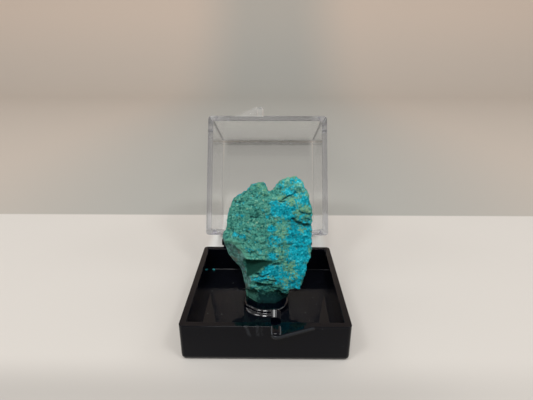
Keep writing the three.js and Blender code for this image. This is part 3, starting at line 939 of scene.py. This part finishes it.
def stone_mesh(shape):
    """The stone, roughened along its normals, with the shares its colours need stored on its mesh."""
    mesh = dense_stone(shape.cell)
    place = vectors(mesh.vertices, "co") / MM
    normal = vectors(mesh.vertex_normals, "vector")
    u = place[:, 0]
    v = (place - FOOT) @ ALONG
    n = (place - FOOT) @ OUTWARD
    front = step_between(0.15, 0.6, normal @ OUTWARD)

    # The smooth broken side at the lower left, and the three-cornered facet.
    sideways = step_between(0.25, 0.55, -normal[:, 0])
    sideways *= step_between(15.5, 14.0, v) * step_between(-2.6, -3.2, u)
    broken = sideways * step_between(0.4, -0.1, n)
    lip = step_between(0.75, 0.25, line_distance(u, v, LIP_LINE)) * front
    facet = (
        front * step_between(5.6, 6.4, v) * step_between(10.1, 9.7, v)
        * step_between(-4.7, -4.2, u) * step_between(1.9, 1.2, u)
    )
    facet *= step_between(-0.25, 0.25, v - 6.3 - 0.62 * (u + 3.6) + 0.25 * field(place, 1.1, 61, 2))
    broken *= 1 - facet
    calm = np.maximum(broken, facet)

    lumps = field(place, 5.0, 1, 2)
    ledges = field(place, 1.9, 5, 2, (1.0, 1.0, 1.5))
    crumbs = crumbly(place, 1.3, 3, (1.0, 1.0, 1.25))
    grain = field(place, 0.62, 9, 2)
    fine = crumbly(place, 0.55, 4)
    height = (
        shape.lump / MM * lumps
        + shape.ledge / MM * (ledges + 0.9 * (crumbs - 0.35)) * (1 - 0.85 * calm)
        + shape.grain / MM * (grain + 0.9 * (fine - 0.35)) * (1 - 0.80 * calm)
    )
    folds = np.exp(-((u + 0.6) / 2.6) ** 2 - ((v - 5.6) / 1.8) ** 2) * front
    height += 0.35 * folds * (np.abs(field(place, 1.15, 21, 1, (0.7, 1.0, 2.2))) * -2.0 + 0.35)
    cut = np.zeros(len(place))
    wander, broken_up = field(place, 1.2, 51, 2), 0.75 + 0.5 * field(place, 0.9, 57, 2)
    for line, half_width, depth in CREASES:
        away = line_distance(u + 0.30 * wander, v + 0.30 * ledges, line)
        cut = np.maximum(cut, depth * broken_up * np.exp(-(away / half_width) ** 2) * front)
    height -= cut
    under = step_between(3.3, 2.3, v + 0.5 * wander) * front
    height -= 0.6 * under * step_between(-0.2, 1.0, v)
    foot = step_between(0.5, 1.4, place[:, 2] - PEDESTAL_HIGH.z / MM)
    moved = place + normal * (height * (0.25 + 0.75 * foot))[:, None]
    moved[:, 2] -= 0.22 * (1 - step_between(0.0, 1.5, place[:, 2] - PEDESTAL_HIGH.z / MM))
    mesh.vertices.foreach_set("co", (moved * MM).ravel())

    blue = 0.30 + 0.25 * step_between(-1.0, 7.0, u)
    blue = np.maximum(blue * 0.75, patch_share(u, v, BLUE_PATCHES)) + 0.10 * field(place, 2.4, 31, 2)
    blue = np.where(normal @ OUTWARD > 0.1, blue, 0.35 + 0.55 * field(place, 4.0, 33, 3))
    olive = patch_share(u, v, OLIVE_PATCHES) + 0.12 * field(place, 1.6, 41, 2)
    # The relief share for painted shade: high in hollows and cracks, low on crests.
    hollow = np.clip(0.35 - 0.9 * (height - shape.lump / MM * lumps) / 0.3 * 0.35 + cut * 1.3, 0, 1)
    # The foot share marks the foot painted as shade under the lobe, and the facet share the facet painted
    # as shade.
    shares = {"blue": blue, "olive": olive, "hollow": hollow, "broken": broken, "facet": facet,
              "foot": step_between(3.0, 1.8, v + 0.5 * wander), "lip": lip}
    for name, values in shares.items():
        mesh.attributes.new(name, "FLOAT", "POINT").data.foreach_set("value", values.astype(np.float32))
    mesh.update()
    return all_smooth(mesh)


# ---------------- crumbs


CRUMB_AT = (-13.6 * MM, 13.9 * MM)


def crumb_places(sizes):
    """The open floor of the tray, as a flat ring round the pedestal."""
    half = TRAY_HIGH.x - sizes.tray_wall - 0.5 * MM
    steps = 32
    points, faces = [], []
    for i in range(steps):
        a = (i + 0.5) / steps * math.tau
        x, y = math.cos(a), math.sin(a)
        reach = half / max(abs(x), abs(y))
        for radius in (5.7 * MM, reach):
            points.append((radius * x, radius * y, sizes.tray_floor))
    for i in range(steps):
        a, b = 2 * i, 2 * ((i + 1) % steps)
        faces.append((a, a + 1, b + 1, b))
    return mesh_of("crumb places", points, faces, closed=False)


def grain_scatter(material):
    """A node group that scatters turned, unequal grains over a surface."""
    group = Nodes(bpy.data.node_groups.new("grain scatter", "GeometryNodeTree"))
    new_socket, keys = group.tree.interface.new_socket, {}
    for name, kind in (
        ("Surface", "Geometry"), ("Density", "Float"), ("Seed", "Int"), ("Smallest", "Float"),
        ("Largest", "Float"),
    ):
        keys[name] = new_socket(name, in_out="INPUT", socket_type="NodeSocket" + kind).identifier
    new_socket("Grains", in_out="OUTPUT", socket_type="NodeSocketGeometry")
    given = group.node("NodeGroupInput").outputs
    scatter = group.node("GeometryNodeDistributePointsOnFaces", {
        "Mesh": given["Surface"], "Density": given["Density"], "Seed": given["Seed"],
    })
    ball = group.node("GeometryNodeMeshIcoSphere", {"Radius": 0.5, "Subdivisions": 2})
    inputs = {1: (math.tau,) * 3, "Seed": given["Seed"]}
    turn = group.node("FunctionNodeRandomValue", inputs, data_type="FLOAT_VECTOR")
    inputs = {2: given["Smallest"], 3: given["Largest"], "Seed": given["Seed"]}
    size = group.node("FunctionNodeRandomValue", inputs, data_type="FLOAT")
    inputs = {0: size.outputs[1], 1: (1.5, 0.9, 0.7)}
    stretch = group.node("ShaderNodeVectorMath", inputs, operation="MULTIPLY")
    place = group.node("GeometryNodeInstanceOnPoints", {
        "Points": scatter.outputs["Points"], "Instance": ball.outputs["Mesh"],
        "Rotation": turn.outputs[0], "Scale": stretch.outputs[0],
    })
    real = group.node("GeometryNodeRealizeInstances", {0: place.outputs[0]})
    paint = group.node("GeometryNodeSetMaterial", {"Geometry": real.outputs[0], "Material": material})
    group.node("NodeGroupOutput", {"Grains": paint.outputs[0]})
    return group.tree, keys


def grains_mesh(sizes, crumbs, material):
    """The scattered grains as one plain mesh."""
    source = new_object("crumb places", crumb_places(sizes))
    tree, keys = grain_scatter(material)
    scatter = modify(source, "scatter", "NODES", node_group=tree)
    scatter[keys["Density"]] = crumbs.density
    scatter[keys["Seed"]] = crumbs.seed
    scatter[keys["Smallest"]] = crumbs.small
    scatter[keys["Largest"]] = crumbs.large
    return applied(source, "dust grains")


def crumb_mesh(place, size):
    """One rough crumb, half sunk at its lowest point into the floor it lies on."""
    mesh = bpy.data.meshes.new("crumb")
    with editing(mesh) as work:
        bmesh.ops.create_icosphere(work, subdivisions=4, radius=0.5)
        for vertex in work.verts:
            rough = 0.34 * noise.noise(vertex.co * 2.2) + 0.16 * noise.noise(vertex.co * 6.0)
            vertex.co = vertex.co * (1 + rough)
            vertex.co = Vector((vertex.co.x * 1.15, vertex.co.y * 0.8, vertex.co.z * 0.75)) * size
        lowest = min(vertex.co.z for vertex in work.verts)
        bmesh.ops.translate(work, verts=work.verts, vec=Vector(place) - Vector((0, 0, lowest)))
    return all_smooth(mesh)


def grain_material():
    """Pale greenish dust."""
    s = Shader("pale mineral dust")
    body = s.mix(s.noise(0.8, detail=2), (0.050, 0.100, 0.090), (0.280, 0.300, 0.270))
    s.set(Base_Color=body, Roughness=0.8)
    return s.material


def crumb_material(colours):
    """Mottled blue green, like the stone it fell from."""
    s = Shader("chrysocolla crumb")
    body = s.mix(s.noise(0.3, detail=3), colours.green_deep, colours.blue_pale)
    s.set(Base_Color=body, Roughness=0.8)
    return s.material


# ---------------- stage

# Where each lamp stands and its size, in metres, and the setting that gives its power.
LAMPS = {
    "front lamp": ("lamp", 0.20, (-0.06, -0.50, 0.80)),
    "front left lamp": ("side_lamp", 0.20, (-0.42, -0.38, 0.76)),
    "front right lamp": ("side_lamp", 0.20, (0.42, -0.38, 0.76)),
    "left lamp": ("fill_lamp", 0.33, (-0.72, 0.12, 0.62)),
    "right lamp": ("fill_lamp", 0.33, (0.72, 0.12, 0.62)),
}
CAMERA_AT = (0.94 * MM, -75.9 * MM, 54.41 * MM)
CAMERA_DOWN_DEG, CAMERA_LEFT_DEG = 20.25, 0.65
LENS_MM = 27.0


def ground_mesh():
    """A level ground that sweeps up into a wall a long way behind."""
    level, radius, height, reach = 0.45, 0.25, 1.2, 1.6
    profile = [(-1.6, 0.0), (level, 0.0)]
    for step in range(1, 13):
        angle = math.radians(7.5 * step)
        profile.append((level + radius * math.sin(angle), radius * (1 - math.cos(angle))))
    profile.append((level + radius, height))
    points = [(x, y, z) for y, z in profile for x in (-reach, reach)]
    faces = [(2 * i, 2 * i + 1, 2 * i + 3, 2 * i + 2) for i in range(len(profile) - 1)]
    return all_smooth(mesh_of("table", points, faces, closed=False))


def ground_material(stage):
    """Pale near the box, darker beyond a line behind it. Painted shadow darkens the table in front of the
    box, the far ground behind the lid and the far ground's middle; painted light brightens the ground
    under and behind the lid and the rising sweep.
    """
    s = Shader("pale table")
    x, y, z = s.parts(s.place)
    aside = s.absolute(x)
    # Painted shadow on the table in front of the box, deepest in the middle and deeper still towards the
    # camera.
    front = s.along(y, -14.0, -24.0)
    front = s.times(front, s.along(x, 15.0, 45.0, 1.0, 0.5))
    near = s.mix(front, stage.floor, shade(stage.floor, stage.shaded))
    near = s.mix(s.along(y, -28.0, -50.0), near, shade(stage.floor, 0.60))
    # Painted light under and just behind the lid.
    under = s.times(s.along(aside, 18.5, 15.5), s.along(y, 17.0, 20.0))
    under = s.times(under, s.along(y, 88.0, 66.0))
    near = s.mix(under, near, [k * v for k, v in zip((1.32, 1.40, 1.44), stage.floor)])
    # Painted shade: the far ground is darker in the middle, behind the box, than towards the sides.
    far = s.mix(s.along(aside, 30.0, 150.0), stage.far, stage.far_side)
    # Painted shadow on the far ground behind the lid.
    behind = s.times(s.along(aside, 55.0, 20.0), s.along(y, 70.0, 120.0))
    behind = s.times(behind, s.along(y, 320.0, 200.0, 0.0, 0.5))
    far = s.mix(behind, far, shade(stage.far, 0.82))
    far = s.mix(under, far, shade(stage.far, 1.40))
    # Painted light: the sweep grows lighter as it rises.
    far = s.mix(s.between(z, 0.0, 0.15), far, (1.20, 1.13, 1.09), "MULTIPLY")
    line = s.between(y, stage.far_line - 0.5 * MM, stage.far_line + 0.5 * MM)
    s.set(Base_Color=s.mix(line, near, far), Roughness=0.9, Specular_IOR_Level=0.1)
    return s.material


# ---------------- operators


class SPECIMEN_OT_tray(bpy.types.Operator):
    """Build the black tray with its tab, knuckles and hinge rod"""

    bl_idname = "specimen.tray"
    bl_label = "Tray"

    def execute(self, context):
        mesh = tray_mesh(context.scene.specimen_box)
        finish = black_plastic(context, "gloss black plastic", 0.03, 0.08, 1.30)
        make_piece("black_tray", mesh, finish, "base", "base_tray", 32)
        return {"FINISHED"}


class SPECIMEN_OT_lid(bpy.types.Operator):
    """Build the clear lid with its tab and snap clips"""

    bl_idname = "specimen.lid"
    bl_label = "Lid"

    def execute(self, context):
        mesh = lid_mesh(context.scene.specimen_box)
        make_piece("clear_lid", mesh, clear_plastic(context), "lid", "lid", 32)
        return {"FINISHED"}


class SPECIMEN_OT_pedestal(bpy.types.Operator):
    """Build the small black pedestal"""

    bl_idname = "specimen.pedestal"
    bl_label = "Pedestal"

    def execute(self, context):
        mesh = pedestal_mesh()
        finish = black_plastic(context, "satin black plastic", 0.10, 0.18, 1.60)
        make_piece("black_pedestal", mesh, finish, "base", "pedestal", 50)
        return {"FINISHED"}


class SPECIMEN_OT_stone(bpy.types.Operator):
    """Build the stone with its rough surface and mottled colours"""

    bl_idname = "specimen.stone"
    bl_label = "Stone"

    def execute(self, context):
        mesh = stone_mesh(context.scene.specimen_stone)
        make_piece("chrysocolla_stone", mesh, stone_surface(context), "base", "specimen")
        return {"FINISHED"}


class SPECIMEN_OT_crumbs(bpy.types.Operator):
    """Scatter the dust grains and lay the crumb at the back of the tray"""

    bl_idname = "specimen.crumbs"
    bl_label = "Crumbs"

    def execute(self, context):
        scene = context.scene
        sizes, crumbs = scene.specimen_box, scene.specimen_crumbs
        dust = grain_material()
        make_piece("dust_grains", grains_mesh(sizes, crumbs, dust), dust, "base")
        crumb = crumb_mesh((*CRUMB_AT, sizes.tray_floor - 0.02 * MM), crumbs.crumb)
        finish = crumb_material(scene.specimen_colours)
        make_piece("chrysocolla_crumb", crumb, finish, "base")
        return {"FINISHED"}


class SPECIMEN_OT_stage(bpy.types.Operator):
    """Set up the floor, the light and the camera"""

    bl_idname = "specimen.stage"
    bl_label = "Stage"

    def execute(self, context):
        stage = context.scene.specimen_stage
        scene = context.scene
        ground = new_object("table", ground_mesh())
        ground.data.materials.append(ground_material(stage))

        world = bpy.data.worlds.new("soft surroundings")
        world.use_nodes = True
        sky = world.node_tree.nodes["Background"]
        sky.inputs["Color"].default_value = (1.0, 0.98, 0.94, 1.0)
        sky.inputs["Strength"].default_value = stage.sky
        scene.world = world

        for name, (setting, size, place) in LAMPS.items():
            light = bpy.data.lights.new(name, "AREA")
            light.size = size
            light.energy = getattr(stage, setting)
            lamp = new_object(name, light)
            lamp.location = place
            lamp.rotation_euler = Vector(place).to_track_quat("Z", "Y").to_euler()

        for name, bounces in (("max_bounces", 32), ("glossy_bounces", 28), ("transmission_bounces", 32)):
            setattr(scene.cycles, name, bounces)

        lens = bpy.data.cameras.new("camera")
        lens.lens = LENS_MM
        lens.clip_start = MM
        camera = new_object("camera", lens)
        camera.location = CAMERA_AT
        camera.rotation_euler = (math.radians(90 - CAMERA_DOWN_DEG), 0.0, math.radians(CAMERA_LEFT_DEG))
        scene.camera = camera
        scene.view_settings.view_transform = "Standard"
        return {"FINISHED"}


OPERATORS = (
    SPECIMEN_OT_stage, SPECIMEN_OT_tray, SPECIMEN_OT_lid, SPECIMEN_OT_pedestal, SPECIMEN_OT_stone,
    SPECIMEN_OT_crumbs,
)


class SPECIMEN_PT_panel(bpy.types.Panel):
    """Lists the specimen's pieces and settings"""

    bl_label = "Specimen"
    bl_idname = "SPECIMEN_PT_panel"
    bl_space_type = "VIEW_3D"
    bl_region_type = "UI"
    bl_category = "Specimen"

    def draw(self, context):
        for operator in OPERATORS:
            self.layout.operator(operator.bl_idname)
        for name, group in GROUPS.items():
            box = self.layout.box()
            box.label(text=group.__doc__)
            for key in group.__annotations__:
                box.prop(getattr(context.scene, name), key)


def register():
    """Registers the settings, the operators and the panel."""
    for group in GROUPS.values():
        bpy.utils.register_class(group)
    for name, group in GROUPS.items():
        setattr(bpy.types.Scene, name, bpy.props.PointerProperty(type=group))
    for operator in OPERATORS:
        bpy.utils.register_class(operator)
    bpy.utils.register_class(SPECIMEN_PT_panel)


def unregister():
    """Takes back what register did."""
    bpy.utils.unregister_class(SPECIMEN_PT_panel)
    for operator in reversed(OPERATORS):
        bpy.utils.unregister_class(operator)
    for name in GROUPS:
        delattr(bpy.types.Scene, name)
    for group in reversed(GROUPS.values()):
        bpy.utils.unregister_class(group)


def main():
    """Builds the scene."""
    register()
    bpy.ops.specimen.stage()
    bpy.ops.specimen.tray()
    bpy.ops.specimen.lid()
    bpy.ops.specimen.pedestal()
    bpy.ops.specimen.stone()
    bpy.ops.specimen.crumbs()


if __name__ == "__main__":
    main()
